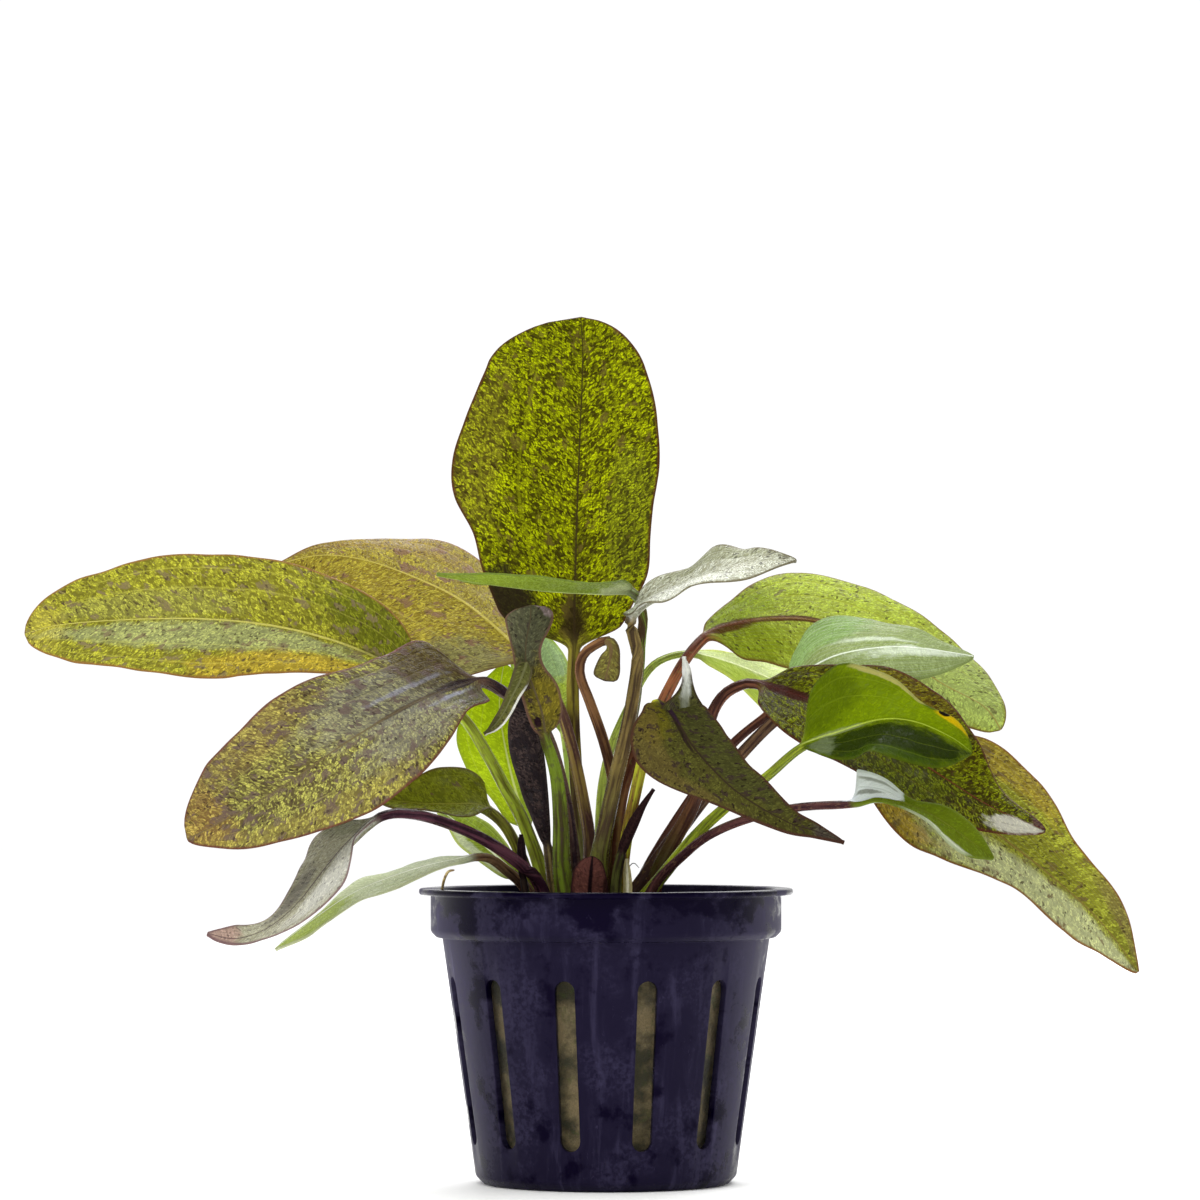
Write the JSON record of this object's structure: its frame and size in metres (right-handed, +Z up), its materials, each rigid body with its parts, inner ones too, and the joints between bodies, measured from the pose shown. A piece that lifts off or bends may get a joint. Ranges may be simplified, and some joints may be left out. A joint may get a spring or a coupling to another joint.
{
  "type": "potted echinodorus plant",
  "caption": "Rosette aquarium plant with speckled green and russet oval leaves on arching stalks, rooted in mineral wool in a small black net pot.",
  "frame": {"origin": "centre of the underside of the pot, which the plant stands on", "axes": "+Z up; -Y is the side seen in the picture; +X to the right in it, along the widest spread of the leaves"},
  "size_m": [0.1649, 0.1013, 0.1299],
  "materials": {
    "speckled_leaf": "satin",
    "russet_leaf": "satin",
    "green_leaf": "satin",
    "lime_leaf": "satin",
    "silvery_leaf": "gloss",
    "withered_leaf": "matte",
    "dry_sheath": "matte",
    "crown_tissue": "matte",
    "mineral_wool": "matte",
    "pot_plastic": "satin"
  },
  "bodies": {
    "root": {"bract_spike": "withered_leaf", "bract_stub": "withered_leaf", "crown": "crown_tissue", "leaf_back_left": "russet_leaf", "leaf_back_middle": "lime_leaf", "leaf_back_right": "lime_leaf", "leaf_bright_right": "lime_leaf", "leaf_curled": "russet_leaf", "leaf_dark": "withered_leaf", "leaf_drooping": "silvery_leaf", "leaf_edge_on": "green_leaf", "leaf_far_left": "speckled_leaf", "leaf_front_left": "speckled_leaf", "leaf_front_right": "speckled_leaf", "leaf_lime": "lime_leaf", "leaf_low_green": "green_leaf", "leaf_low_right": "speckled_leaf", "leaf_middle_right": "russet_leaf", "leaf_pale_low": "silvery_leaf", "leaf_pale_right": "silvery_leaf", "leaf_silver": "silvery_leaf", "leaf_small_right": "green_leaf", "leaf_striped": "green_leaf", "leaf_top": "speckled_leaf", "leaf_twisted": "russet_leaf", "leaf_upper_right": "speckled_leaf", "mineral_wool": "mineral_wool", "pot": "pot_plastic", "sheath_brown": "dry_sheath", "sheath_pale": "dry_sheath"}
  },
  "joints": []
}
